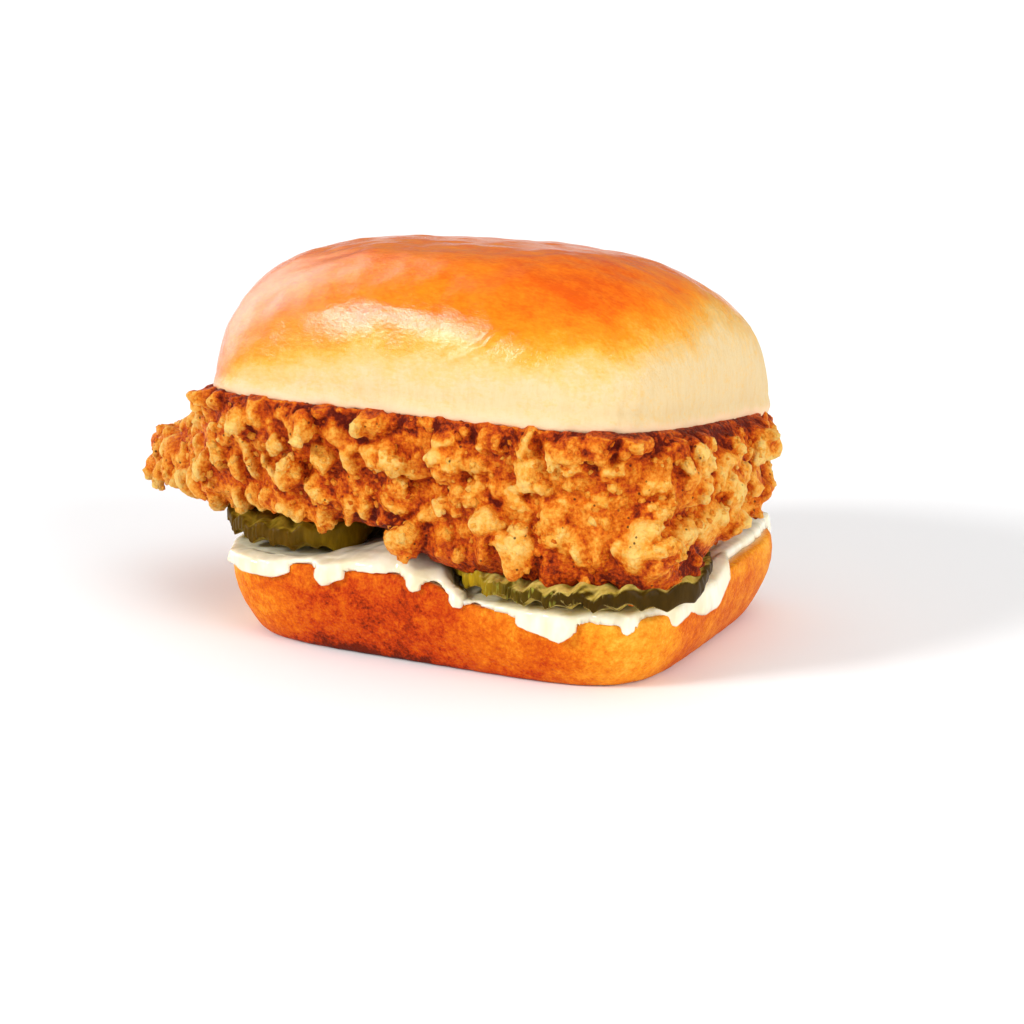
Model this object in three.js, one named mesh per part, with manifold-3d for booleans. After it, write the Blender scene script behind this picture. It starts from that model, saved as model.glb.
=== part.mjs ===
// A crispy chicken burger on a small oblong bun: heel, mayonnaise, two crinkle-cut pickle slices,
// a breaded chicken fillet that hangs out at both ends, and the crown of the bun on top.
// Millimetres, +Z up. The origin is under the middle of the bun, on the surface that it stands on,
// +X runs along the bun's long side towards the blunt end of the fillet, and -Y is the side on show.
import * as THREE from "three";
import { mergeVertices } from "three/addons/utils/BufferGeometryUtils.js";
import { ImprovedNoise } from "three/addons/math/ImprovedNoise.js";
import Module from "manifold-3d";

const wasm = await Module();
wasm.setup();
const noise = new ImprovedNoise();

// Driving dimensions.
const BUN_HALF_LENGTH = 40;
const BUN_HALF_WIDTH = 31.8;
const BUN_SQUARENESS = 5.6; // exponent of the superellipse seen from above: 2 is an ellipse
const HEEL_THICKNESS = 13.5;
const HEEL_SWELL = 1.7; // how much higher the cut face stands where less weight presses on it
const HEEL_SWELL_AT_X = -9;
const HEEL_SWELL_SPREAD = 17;
const HEEL_FOOT_INSET = 3.5; // how far the rounded foot draws in under the side wall
const CROWN_GROWTH = 0.6; // the crown reaches this much further out than the heel
const CROWN_THICKNESS = 25.2;
const CROWN_CENTRE = new THREE.Vector3(-1.4, -1.1, 37.4);
const CROWN_TILT_ABOUT_X = -8.0; // degrees: the side on show is propped up by the fillet
const CROWN_TILT_ABOUT_Y = -0.9;
const CROWN_YAW = -1.3;
const CROWN_GAP = 0.3; // left between the crown's cut face and the crags that it presses on

const PICKLE_WAVE = 5.6; // pitch of the crinkle cut
const PICKLE_WAVE_DEPTH = 0.55;
const PICKLE_THICKNESS = 2.9;
const PICKLES = [
  // ridges is the way the slice's ridges run, in degrees from +X
  { name: "pickle_slice_left", radius: 13.2, centre: [-28.2, -15.6, 17.0], ridges: 58 },
  { name: "pickle_slice_right", radius: 20.3, centre: [21.8, -14.8, 14.9], ridges: 72 },
];
const CRUMB_GAP = 1.15; // room for a film of mayonnaise between a slice and the crumb it dents

const MAYO_SPREAD = 1.05; // thickness of the film where nothing squeezes it up
const MAYO_SINK = 1.2; // how far the raw body reaches into the heel before the heel is cut away
const MAYO_BEADS = [
  // where the mayonnaise runs over the rim: [degrees, half width, drop, thickness]
  [-137, 7, 1.3, 1.2],
  [-128, 3.5, 1.6, 1.2],
  [-116, 3.6, 2.3, 1.5],
  [-107, 3, 1.2, 1.1],
  [-100.5, 3, 1.4, 1.3],
  [-92, 3, 1.6, 1.4],
  [-86, 2.5, 0.9, 1.1],
  [-79, 2.6, 1.5, 1.7],
  [-59, 6, 1.4, 1.0],
  [-51, 4.5, 2.5, 1.5],
  [-38, 7, 0.9, 1.0],
  [-24, 6, 1.9, 1.1],
  [-9.5, 4.5, 4.6, 1.4],
  [-1, 5, 1.2, 1.0],
  [172, 12, 1.5, 1.0],
  [120, 16, 1.2, 0.9],
  [70, 14, 1.4, 1.0],
  [40, 8, 1.2, 0.8],
];
const MAYO_MOUNDS = [
  // where it is squeezed up between its neighbours: [x, y, spread, rise]
  [-3.5, -24, 8, 2.6],
  [-1, -10, 9, 2.4],
  [-14, 12, 13, 0.7],
];

// The fillet in slices along its length: [x, near side, far side, underside, top].
const FILLET_SLICES = [
  [-67.0, -2, 4, 20.4, 22.4],
  [-65.0, -7, 8, 18.8, 24.4],
  [-60.0, -13, 13, 17.7, 27.4],
  [-53.0, -19, 17.5, 17.3, 30.6],
  [-46.0, -24.5, 20.5, 18.2, 33.6],
  [-38.0, -29.5, 22.5, 19.6, 40],
  [-24.0, -32.2, 24.0, 20.2, 44],
  [-9.0, -32.6, 24.5, 19.6, 44],
  [3.0, -33.2, 24.5, 18.1, 44],
  [15.0, -33.6, 24.0, 17.4, 44],
  [27.0, -33.2, 22.5, 17.5, 44],
  [35.0, -31.6, 19.5, 17.8, 42],
  [40.3, -28.0, 15.0, 18.9, 37],
  [43.2, -22.0, 9.5, 20.8, 34],
  [44.6, -13.0, 5.0, 23.5, 31.5],
];
const FILLET_SAG = 1.9; // how far its underside sinks behind the pickle slices, onto the heel
const CRAG_COUNT = 129;
const CRAG_SEED = 20;
const CRAG_SMALLEST = 1.5; // radius
const CRAG_LARGEST = 3.5;

const material = (color, roughness) =>
  new THREE.MeshStandardMaterial({ color, roughness, metalness: 0 });
const HEEL_MATERIAL = material(0xd98a33, 0.75);
const CROWN_MATERIAL = material(0xe0934a, 0.45);
const MAYO_MATERIAL = material(0xf3efdc, 0.25);
const PICKLE_MATERIAL = material(0x7d8434, 0.3);
const FILLET_MATERIAL = material(0xd98b3f, 0.6);

const clamp = THREE.MathUtils.clamp;
const smooth = THREE.MathUtils.smoothstep;
const mix = THREE.MathUtils.lerp;
const degrees = THREE.MathUtils.degToRad;

// A repeatable stream of numbers from 0 to 1.
function randomStream(seed) {
  let state = seed >>> 0;
  return () => {
    state = (state + 0x6d2b79f5) >>> 0;
    let t = Math.imul(state ^ (state >>> 15), state | 1);
    t ^= t + Math.imul(t ^ (t >>> 7), t | 61);
    return ((t ^ (t >>> 14)) >>> 0) / 4294967296;
  };
}

// A closed geometry, placed by an optional matrix, as a solid that can be joined and cut.
function toSolid(geometry, matrix) {
  const bare = new THREE.BufferGeometry();
  bare.setAttribute("position", geometry.getAttribute("position").clone());
  if (geometry.index) bare.setIndex(geometry.index.clone());
  if (matrix) bare.applyMatrix4(matrix);
  const merged = mergeVertices(bare, 1e-4);
  return new wasm.Manifold(
    new wasm.Mesh({
      numProp: 3,
      vertProperties: merged.getAttribute("position").array,
      triVerts: new Uint32Array(merged.index.array),
    }),
  );
}

function toGeometry(solid) {
  const mesh = solid.getMesh();
  const positions = new Float32Array(mesh.numVert * 3);
  for (let i = 0; i < mesh.numVert; i++) {
    const at = i * mesh.numProp;
    positions.set(mesh.vertProperties.subarray(at, at + 3), i * 3);
  }
  const geometry = new THREE.BufferGeometry();
  geometry.setAttribute("position", new THREE.BufferAttribute(positions, 3));
  geometry.setIndex(new THREE.BufferAttribute(mesh.triVerts, 1));
  geometry.computeVertexNormals();
  return geometry;
}

// Moves every vertex of a geometry by a function of its position.
function reshape(geometry, move) {
  const position = geometry.getAttribute("position");
  const point = new THREE.Vector3();
  for (let i = 0; i < position.count; i++) {
    point.fromBufferAttribute(position, i);
    move(point);
    position.setXYZ(i, point.x, point.y, point.z);
  }
  geometry.computeVertexNormals();
  return geometry;
}

// A lathe turned about Z: profile points are [share of the outline, level], from axis to axis.
function turned(profile, segments) {
  const points = profile.map(([share, level]) => new THREE.Vector2(share, level));
  return new THREE.LatheGeometry(points, segments).rotateX(Math.PI / 2);
}

// Distance from the axis to a rounded oblong outline, in the direction of angle.
function oblongRadius(angle, halfLength, halfWidth, squareness) {
  const along = Math.abs(Math.cos(angle) / halfLength) ** squareness;
  const across = Math.abs(Math.sin(angle) / halfWidth) ** squareness;
  return (along + across) ** (-1 / squareness);
}

// Height of the heel's cut face above its foot: swollen to the left, dented under the slices.
function heelTop(x, y) {
  const away = (x - HEEL_SWELL_AT_X) / HEEL_SWELL_SPREAD;
  let level = HEEL_THICKNESS + HEEL_SWELL * Math.exp(-away * away);
  for (const { radius, centre } of PICKLES) {
    const reach = Math.hypot(x - centre[0], y - centre[1]);
    const under = 1 - smooth(reach, radius, radius + 3);
    level = mix(level, centre[2] - PICKLE_THICKNESS / 2 - PICKLE_WAVE_DEPTH - CRUMB_GAP, under);
  }
  return level;
}

// The bottom half of the bun. growth makes a slightly larger copy, used to cut what rests on it.
function heelGeometry(growth = 0) {
  const profile = [[0, 0], [0.5, 0]];
  const steps = 7;
  for (let i = 0; i <= steps; i++) {
    const level = i / steps;
    const inset = (HEEL_FOOT_INSET * (1 - level) ** 2.4) / BUN_HALF_WIDTH;
    profile.push([1 - inset - 0.012 * level ** 8, level]);
  }
  profile.push([0.86, 1], [0.66, 1], [0.44, 1], [0.22, 1], [0, 1]);
  return reshape(turned(profile, 44), (p) => {
    const angle = Math.atan2(p.y, p.x);
    const share = Math.hypot(p.x, p.y);
    const level = p.z;
    const radius =
      growth + oblongRadius(angle, BUN_HALF_LENGTH, BUN_HALF_WIDTH, BUN_SQUARENESS);
    p.x = Math.cos(angle) * share * radius;
    p.y = Math.sin(angle) * share * radius;
    p.z = level * (heelTop(p.x, p.y) + growth);
  });
}

// The top half of the bun in its own frame, with its cut face on z = 0.
function crownGeometry() {
  const bulgeLevel = 0.24;
  const tuck = 0.02;
  const profile = [[0, 0], [0.6, 0], [0.965, 0.004]];
  const steps = 12;
  for (let i = 1; i < steps; i++) {
    const level = Math.sin(((i / steps) * Math.PI) / 2) ** 1.25;
    const below = Math.max(0, (bulgeLevel - level) / bulgeLevel);
    const above = Math.max(0, (level - bulgeLevel) / (1 - bulgeLevel));
    profile.push([(1 - tuck * below ** 2) * (1 - above ** 2.8) ** (1 / 3.4), level]);
  }
  profile.push([0.3, 0.9992], [0, 1]);
  return reshape(turned(profile, 56), (p) => {
    const angle = Math.atan2(p.y, p.x);
    const share = Math.hypot(p.x, p.y);
    const level = clamp(p.z, 0, 1);
    const squareness = 2 + (BUN_SQUARENESS - 2) * (1 - level) ** 1.6;
    const radius = oblongRadius(
      angle,
      BUN_HALF_LENGTH + CROWN_GROWTH,
      BUN_HALF_WIDTH + CROWN_GROWTH,
      squareness,
    );
    p.x = Math.cos(angle) * share * radius - 1.1 * level ** 2;
    p.y = Math.sin(angle) * share * radius - 0.8 * level ** 2;
    const dimple = 0.45 * noise.noise(p.x / 17, p.y / 15, 3.7) * smooth(level, 0.1, 0.6);
    p.z = level * CROWN_THICKNESS + dimple;
  });
}

const crownMatrix = new THREE.Matrix4().compose(
  CROWN_CENTRE,
  new THREE.Quaternion().setFromEuler(
    new THREE.Euler(
      degrees(CROWN_TILT_ABOUT_X),
      degrees(CROWN_TILT_ABOUT_Y),
      degrees(CROWN_YAW),
      "ZYX",
    ),
  ),
  new THREE.Vector3(1, 1, 1),
);

// Height of the crown's cut face over a point of the table.
function crownFace(x, y) {
  const up = new THREE.Vector3(0, 0, 1).transformDirection(crownMatrix);
  const dx = x - CROWN_CENTRE.x;
  const dy = y - CROWN_CENTRE.y;
  return CROWN_CENTRE.z - (up.x * dx + up.y * dy) / up.z;
}

// The fillet's near side, far side, underside and top at any x, from the slices.
function filletSlice(x) {
  let i = 0;
  while (i < FILLET_SLICES.length - 2 && x > FILLET_SLICES[i + 1][0]) i++;
  const from = FILLET_SLICES[i];
  const to = FILLET_SLICES[i + 1];
  const share = clamp((x - from[0]) / (to[0] - from[0]), 0, 1);
  return from.slice(1).map((value, k) => mix(value, to[k + 1], share));
}

// A point of the fillet's body: along runs from -1 at the tip to 1 at the blunt end.
function filletPoint(along, turn, target) {
  const left = FILLET_SLICES[0][0];
  const right = FILLET_SLICES[FILLET_SLICES.length - 1][0];
  const x = mix(left, right, (along + 1) / 2);
  const [near, far, under, over] = filletSlice(x);
  const c = Math.cos(turn);
  const s = Math.sin(turn);
  const pressedFlat = smooth(x, -BUN_HALF_LENGTH - 8, -BUN_HALF_LENGTH + 4);
  const squareness = 2 / (s > 0 ? mix(3, 4.8, pressedFlat) : mix(3.2, 5, smooth(x, -8, 10)));
  const y = (near + far) / 2 + ((far - near) / 2) * Math.sign(c) * Math.abs(c) ** squareness;
  const ceiling = crownFace(clamp(x, -BUN_HALF_LENGTH, BUN_HALF_LENGTH), y) - 0.5;
  const top = Math.min(over, ceiling);
  const floor = under - FILLET_SAG * smooth(y, 3, 16) * smooth(x, -52, -36);
  const z = (top + floor) / 2 + ((top - floor) / 2) * Math.sign(s) * Math.abs(s) ** squareness;
  return target.set(x, y, z);
}

function filletCore() {
  const ball = new THREE.SphereGeometry(1, 20, 26).rotateZ(-Math.PI / 2);
  return reshape(ball, (p) => {
    const polar = Math.asin(clamp(p.x, -1, 1));
    const along = Math.sin(polar) * 0.25 + (polar / (Math.PI / 2)) * 0.75;
    const ends = smooth(1 - Math.abs(along), 0, 0.12);
    filletPoint(along, Math.atan2(p.z, p.y), p);
    const lumpUp = 1.5 * noise.noise(p.x / 9, p.y / 9, p.z / 7);
    const lumpOut = 1.6 * noise.noise(p.z / 7, p.x / 8, 5.5);
    p.z += lumpUp * ends;
    p.y += lumpOut * ends;
  });
}

// One crag of breading: an uneven lump about radius across.
function cragGeometry(random, radius) {
  const seed = random() * 50;
  const stretch = new THREE.Vector3(
    1 + 0.5 * random(),
    0.85 + 0.35 * random(),
    0.8 + 0.3 * random(),
  );
  const turn = new THREE.Euler(random() * 6.3, random() * 6.3, random() * 6.3);
  const ball =
    radius > 2.4 ? new THREE.OctahedronGeometry(1, 1) : new THREE.IcosahedronGeometry(1, 0);
  return reshape(ball, (p) => {
    const bump = 1 + 0.42 * noise.noise(p.x * 1.7 + seed, p.y * 1.7, p.z * 1.7);
    p.multiplyScalar(bump * radius).multiply(stretch).applyEuler(turn);
  });
}

// The breaded fillet: the body with crags fused all over it, trimmed where the crown presses
// on it and where it lies on the filling.
function filletSolid() {
  const random = randomStream(CRAG_SEED);
  let solid = toSolid(filletCore());
  const placed = [];
  const here = new THREE.Vector3();
  const beside = new THREE.Vector3();
  const above = new THREE.Vector3();
  const normal = new THREE.Vector3();
  for (let tries = 0; placed.length < CRAG_COUNT && tries < 8000; tries++) {
    const along = clamp(2 * random() - 1, -0.99, 0.99);
    const turn = random() * 2 * Math.PI;
    const radius = mix(CRAG_SMALLEST, CRAG_LARGEST, random() ** 1.8);
    filletPoint(along, turn, here);
    filletPoint(along + 0.01, turn, beside).sub(here);
    filletPoint(along, turn + 0.02, above).sub(here);
    normal.crossVectors(beside, above).normalize().negate();
    const covered = Math.abs(here.x) < BUN_HALF_LENGTH - 4 && Math.abs(normal.z) > 0.93;
    const crowded = placed.some((q) => q.distanceTo(here) < 0.75 * radius + 1.9);
    if (covered || crowded) continue;
    placed.push(here.clone());
    const centre = here.clone().addScaledVector(normal, -0.2 * radius);
    const crag = cragGeometry(random, radius).translate(centre.x, centre.y, centre.z);
    solid = solid.add(toSolid(crag));
  }
  const slab = 60;
  const ceiling = new THREE.BoxGeometry(4 * slab, 4 * slab, slab)
    .translate(0, 0, slab / 2 - CROWN_GAP)
    .applyMatrix4(crownMatrix);
  solid = solid.subtract(toSolid(ceiling));
  for (const slice of PICKLES) solid = solid.subtract(pickleSolid(slice, 0.3));
  return solid;
}

// A crinkle-cut slice: a wavy slab cut by a not quite round cucumber.
function pickleSolid({ radius, centre, ridges }, growth = 0) {
  const samples = Math.round(((2 * radius + 6) / PICKLE_WAVE) * 5);
  const reach = radius + 3;
  const half = PICKLE_THICKNESS / 2 + growth;
  const edge = (side) =>
    Array.from({ length: samples + 1 }, (_, i) => {
      const x = -reach + (2 * reach * i) / samples;
      const wave = PICKLE_WAVE_DEPTH * Math.cos((2 * Math.PI * x) / PICKLE_WAVE);
      return new THREE.Vector2(x, side * half + wave);
    });
  const outline = new THREE.Shape([...edge(-1), ...edge(1).reverse()]);
  const slab = new THREE.ExtrudeGeometry(outline, { depth: 2 * reach, bevelEnabled: false })
    .translate(0, 0, -reach)
    .rotateX(Math.PI / 2);
  const cucumber = reshape(
    new THREE.CylinderGeometry(1, 1, 4 * PICKLE_THICKNESS, 40).rotateX(Math.PI / 2),
    (p) => {
      const angle = Math.atan2(p.y, p.x);
      const rim = radius + growth + 0.35 * Math.cos(3 * angle + 1) + 0.25 * Math.cos(5 * angle);
      p.x *= rim;
      p.y *= rim;
    },
  );
  const place = new THREE.Matrix4()
    .makeRotationZ(degrees(ridges - 90))
    .setPosition(...centre);
  return toSolid(slab, place).intersect(toSolid(cucumber, place));
}

// How far the mayonnaise hangs over the rim, and how thick, at an angle seen from above.
function mayoBead(angle) {
  let drop = 0;
  let thickness = 0;
  for (const [at, halfWidth, deepest, thickest] of MAYO_BEADS) {
    let away = THREE.MathUtils.radToDeg(angle) - at;
    away = ((away + 540) % 360) - 180;
    const share = Math.exp(-((away / halfWidth) ** 2) * 1.1);
    drop = Math.max(drop, deepest * share);
    thickness = Math.max(thickness, thickest * share ** 0.5);
  }
  return { drop, thickness };
}

// Height of the mayonnaise over the heel.
function mayoTop(x, y) {
  let level = heelTop(x, y) + MAYO_SPREAD + 0.2 * noise.noise(x / 5, y / 5, 8.3);
  for (const [atX, atY, spread, rise] of MAYO_MOUNDS) {
    const away = Math.hypot(x - atX, y - atY) / spread;
    level += rise * Math.exp(-away * away);
  }
  for (const { radius, centre } of PICKLES) {
    const reach = Math.hypot(x - centre[0], y - centre[1]);
    level = mix(level, Math.min(level, centre[2]), 1 - smooth(reach, radius - 1, radius + 1.5));
  }
  return level;
}

// Mayonnaise: a film over the heel, squeezed up between the slices, with beads over the rim.
function mayoSolid() {
  // Rings of the body, from the middle of the underside round the lip to the middle on top.
  const rings = 14;
  const profile = Array.from({ length: rings }, (_, i) => [
    i === 0 || i === rings - 1 ? 0 : 1,
    i / (rings - 1),
  ]);
  const body = reshape(turned(profile, 56), (p) => {
    const ring = Math.round(p.z * (rings - 1));
    const angle = Math.atan2(p.y, p.x);
    const { drop, thickness } = mayoBead(angle);
    const rim = oblongRadius(angle, BUN_HALF_LENGTH, BUN_HALF_WIDTH, BUN_SQUARENESS);
    const spill = smooth(drop, 0.2, 1.2);
    const edge = rim - mix(1.3, 0, spill);
    const lip = thickness * spill;
    const toRim = (radius) => [Math.cos(angle) * radius, Math.sin(angle) * radius];
    const [rimX, rimY] = toRim(rim - 0.5);
    const heel = heelTop(rimX, rimY);
    const film = mayoTop(rimX, rimY) - heel;
    const shape = [
      [0, null, -MAYO_SINK],
      [0.6 * rim, null, -MAYO_SINK],
      [edge - 1.2, heel - MAYO_SINK],
      [edge - 1.0, heel - MAYO_SINK - 0.6 * drop],
      [edge - 0.6, heel - 0.3 - drop],
      [edge + 0.4 * lip + 0.1, heel - 0.35 - 1.08 * drop],
      [edge + 0.9 * lip + 0.15, heel - 0.3 - 0.86 * drop],
      [edge + 1.0 * lip + 0.2, heel - 0.1 - 0.5 * drop],
      [edge + 0.75 * lip + 0.1, heel + 0.45 * film],
      [edge + 0.1 * lip - 0.5, heel + 0.92 * film],
      [edge - 2.2, null, 0],
      [0.72 * rim, null, 0],
      [0.4 * rim, null, 0],
      [0, null, 0],
    ][ring];
    const [radius, level, over] = shape;
    [p.x, p.y] = toRim(Math.max(radius, 0));
    if (level !== null) p.z = level;
    else if (over < 0) p.z = Math.min(heelTop(p.x, p.y), HEEL_THICKNESS - 1) + over;
    else p.z = mayoTop(p.x, p.y);
  });
  let solid = toSolid(body).subtract(toSolid(heelGeometry(0.3)));
  for (const { radius, centre } of PICKLES) {
    const height = PICKLE_THICKNESS + 2 * PICKLE_WAVE_DEPTH + 0.6;
    const room = new THREE.CylinderGeometry(radius + 0.85, radius + 0.85, height, 36)
      .rotateX(Math.PI / 2)
      .translate(...centre);
    solid = solid.subtract(toSolid(room));
  }
  return solid;
}

function named(name, geometry, finish) {
  const mesh = new THREE.Mesh(geometry, finish);
  mesh.name = name;
  return mesh;
}

const burger = new THREE.Group();
burger.add(named("bun_heel", heelGeometry(), HEEL_MATERIAL));
burger.add(named("mayonnaise", toGeometry(mayoSolid()), MAYO_MATERIAL));
for (const slice of PICKLES) {
  burger.add(named(slice.name, toGeometry(pickleSolid(slice)), PICKLE_MATERIAL));
}
burger.add(named("chicken_fillet", toGeometry(filletSolid()), FILLET_MATERIAL));
const crown = named("bun_crown", crownGeometry(), CROWN_MATERIAL);
crown.applyMatrix4(crownMatrix);
burger.add(crown);

export default burger;
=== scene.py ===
# A crispy chicken burger on a small oblong bun, standing on a pale floor.
# Metres, +Z up. +X runs along the bun's long side and -Y is the side on show.
import math

import bpy
import numpy as np
from mathutils import Euler, Matrix, Vector, noise
from mathutils.bvhtree import BVHTree
from mathutils.kdtree import KDTree


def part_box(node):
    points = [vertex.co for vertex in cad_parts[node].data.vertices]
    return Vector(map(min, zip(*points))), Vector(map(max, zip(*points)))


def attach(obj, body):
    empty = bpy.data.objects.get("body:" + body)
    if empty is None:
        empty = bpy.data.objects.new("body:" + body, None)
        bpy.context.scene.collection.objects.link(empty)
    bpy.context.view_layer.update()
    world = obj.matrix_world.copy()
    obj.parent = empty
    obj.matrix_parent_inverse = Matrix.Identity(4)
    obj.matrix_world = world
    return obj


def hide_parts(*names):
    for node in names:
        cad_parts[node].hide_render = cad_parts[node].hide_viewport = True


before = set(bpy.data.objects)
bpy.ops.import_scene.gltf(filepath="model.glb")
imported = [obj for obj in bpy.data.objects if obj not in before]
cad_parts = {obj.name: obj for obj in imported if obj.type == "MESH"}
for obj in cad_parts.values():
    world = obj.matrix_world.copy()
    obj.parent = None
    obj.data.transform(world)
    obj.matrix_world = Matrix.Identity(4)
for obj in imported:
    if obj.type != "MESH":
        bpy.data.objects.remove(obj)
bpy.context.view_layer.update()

# The camera stands a little above the burger, turned towards the bun's blunt right end,
# as far off as a portrait lens would be.
AZIMUTH = math.radians(26.53)
ELEVATION = math.radians(15.84)
DISTANCE = 0.5
back = Vector((
    math.sin(AZIMUTH) * math.cos(ELEVATION),
    -math.cos(AZIMUTH) * math.cos(ELEVATION),
    math.sin(ELEVATION),
))
right = Vector((math.cos(AZIMUTH), math.sin(AZIMUTH), 0))
up = back.cross(right)
bpy.ops.object.camera_add(
    location=Vector((0, 0, 0.030)) + back * DISTANCE + right * 0.00114 - up * 0.01172,
    rotation=(-back).to_track_quat("-Z", "Y").to_euler(),
)
camera = bpy.context.object
camera.data.lens = 107.75
camera.data.sensor_width = 36
bpy.context.scene.camera = camera


# The heel is the bottom half of a soft white bun, baked in a batch tin. Its crust is a fine-pored
# orange brown, redder in the middle of the long side, golden at the corners, and nearly burnt
# along the foot, where it lay on the tin.
MM = 0.001
BUN_HALF_LENGTH = 40
BUN_HALF_WIDTH = 31.8
SQUARENESS = 5.6
CRUST_VOXEL = 0.5


def linear(red, green, blue):
    """The linear colour of a display colour given from 0 to 255."""
    def channel(value):
        value /= 255
        return value / 12.92 if value < 0.04045 else ((value + 0.055) / 1.055) ** 2.4
    return (channel(red), channel(green), channel(blue), 1)


def use_modifier(piece, kind, **settings):
    """Adds a modifier with its settings to a piece, and applies it."""
    bpy.ops.object.select_all(action="DESELECT")
    piece.select_set(True)
    bpy.context.view_layer.objects.active = piece
    modifier = piece.modifiers.new(kind.title(), kind)
    for key, value in settings.items():
        setattr(modifier, key, value)
    bpy.ops.object.modifier_apply(modifier=modifier.name)


def solid_copy(node, name, crease_angle=None):
    """A merged copy of a solid as an object of its own, its sharp edges creased."""
    bpy.ops.object.select_all(action="DESELECT")
    piece = bpy.data.objects.new(name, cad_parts[node].data.copy())
    piece.data.name = name
    piece.data.materials.clear()
    bpy.context.collection.objects.link(piece)
    piece.select_set(True)
    bpy.context.view_layer.objects.active = piece
    bpy.ops.object.mode_set(mode="EDIT")
    bpy.ops.mesh.select_mode(type="EDGE")
    bpy.ops.mesh.select_all(action="SELECT")
    bpy.ops.mesh.remove_doubles(threshold=1e-6)
    if crease_angle:
        bpy.ops.mesh.select_all(action="DESELECT")
        bpy.ops.mesh.edges_select_sharp(sharpness=math.radians(crease_angle))
        bpy.ops.transform.edge_crease(value=0.75)
    bpy.ops.object.mode_set(mode="OBJECT")
    return piece


def remesh(piece, voxel, smoothing):
    """Gives a piece an even fine mesh, voxel in millimetres, and smooths it that many times."""
    use_modifier(piece, "REMESH", mode="VOXEL", voxel_size=voxel * MM, use_smooth_shade=True)
    if smoothing:
        use_modifier(piece, "SMOOTH", factor=0.5, iterations=smoothing)


def read_mesh(piece):
    """A mesh's points and its normals, in millimetres."""
    count = len(piece.data.vertices)
    points = np.empty(count * 3, np.float32)
    piece.data.vertices.foreach_get("co", points)
    normals = np.empty(count * 3, np.float32)
    piece.data.vertex_normals.foreach_get("vector", normals)
    return points.reshape(-1, 3).astype(float) / MM, normals.reshape(-1, 3).astype(float)


def write_points(piece, points):
    """Moves a mesh's points to these, in millimetres."""
    piece.data.vertices.foreach_set("co", (points * MM).astype(np.float32).ravel())
    piece.data.update()


def paint(piece, name, values):
    """Stores a number at each point of a mesh, for its material to read."""
    layer = piece.data.attributes.get(name) or piece.data.attributes.new(name, "FLOAT", "POINT")
    layer.data.foreach_set("value", np.ascontiguousarray(values, np.float32))


def lumps(points, size, seed=0.0):
    """Soft noise from about -1 to 1, its lumps as many millimetres across as size says."""
    return np.array([noise.noise(point) for point in points / size + seed])


def step(values, low, high):
    """A smooth rise from 0 at low to 1 at high."""
    share = np.clip((values - low) / (high - low), 0, 1)
    return share * share * (3 - 2 * share)


def share_out(points, half_length=BUN_HALF_LENGTH, half_width=BUN_HALF_WIDTH):
    """How far out each point lies, 1 on the rounded oblong outline of the bun."""
    across = np.abs(points[:, 0] / half_length) ** SQUARENESS
    along = np.abs(points[:, 1] / half_width) ** SQUARENESS
    return (across + along) ** (1 / SQUARENESS)


def around(points):
    """The direction of each point from the bun's middle in degrees, 0 to the right end."""
    return np.degrees(np.arctan2(points[:, 1] / BUN_HALF_WIDTH, points[:, 0] / BUN_HALF_LENGTH))


def new_material(name):
    """A node material, its tree and its Principled shader."""
    material = bpy.data.materials.new(name)
    material.use_nodes = True
    tree = material.node_tree
    return material, tree, tree.nodes["Principled BSDF"]


def add(tree, kind, inputs=None, **settings):
    """Adds a shader node. An input is given a value, or a socket to be linked to."""
    made = tree.nodes.new("ShaderNode" + kind)
    for key, value in settings.items():
        setattr(made, key, value)
    for key, value in (inputs or {}).items():
        if isinstance(value, bpy.types.NodeSocket):
            tree.links.new(value, made.inputs[key])
        else:
            made.inputs[key].default_value = value
    return made


def stored(tree, name):
    """The number that is stored on the mesh under that name."""
    return add(tree, "Attribute", attribute_name=name).outputs["Fac"]


def place(tree, stretch=(1, 1, 1)):
    """The place on the piece in millimetres, stretched for a drawn-out pattern."""
    coordinates = add(tree, "TexCoord").outputs["Object"]
    scale = [share / MM for share in stretch]
    return add(tree, "Mapping", {"Vector": coordinates, "Scale": scale}).outputs["Vector"]


def grain(tree, where, size, detail=2.0, roughness=0.5):
    """Soft noise from 0 to 1, its lumps as many millimetres across as size says."""
    inputs = {"Vector": where, "Scale": 1 / size, "Detail": detail, "Roughness": roughness}
    return add(tree, "TexNoise", inputs).outputs["Fac"]


def cells(tree, where, size):
    """The distance from the middle of each of many small cells, size millimetres across."""
    inputs = {"Vector": where, "Scale": 1 / size}
    return add(tree, "TexVoronoi", inputs).outputs["Distance"]


def reach(tree, value, low, high, start=0.0, end=1.0):
    """Turns a value between low and high into one between start and end."""
    inputs = {"Value": value, "From Min": low, "From Max": high, "To Min": start, "To Max": end}
    return add(tree, "MapRange", inputs).outputs["Result"]


def maths(tree, operation, first, second):
    """A sum, product or other joint value of two."""
    return add(tree, "Math", {0: first, 1: second}, operation=operation).outputs[0]


def mix(tree, share, first, second):
    """The second colour over the first, as far as share says."""
    return add(tree, "Mix", {0: share, 6: first, 7: second}, data_type="RGBA").outputs[2]


def ramp(tree, value, stops):
    """A colour that follows a value through stops of (place, colour)."""
    made = add(tree, "ValToRGB", {0: value})
    elements = made.color_ramp.elements
    while len(elements) < len(stops):
        elements.new(0.5)
    for element, (position, color) in zip(elements, stops):
        element.position = position
        element.color = color
    return made.outputs["Color"]


def bump(tree, height, distance, strength=1.0, normal=None):
    """A bump whose full height is that many millimetres."""
    inputs = {"Height": height, "Distance": distance * MM, "Strength": strength}
    if normal:
        inputs["Normal"] = normal
    return add(tree, "Bump", inputs).outputs["Normal"]


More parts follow.
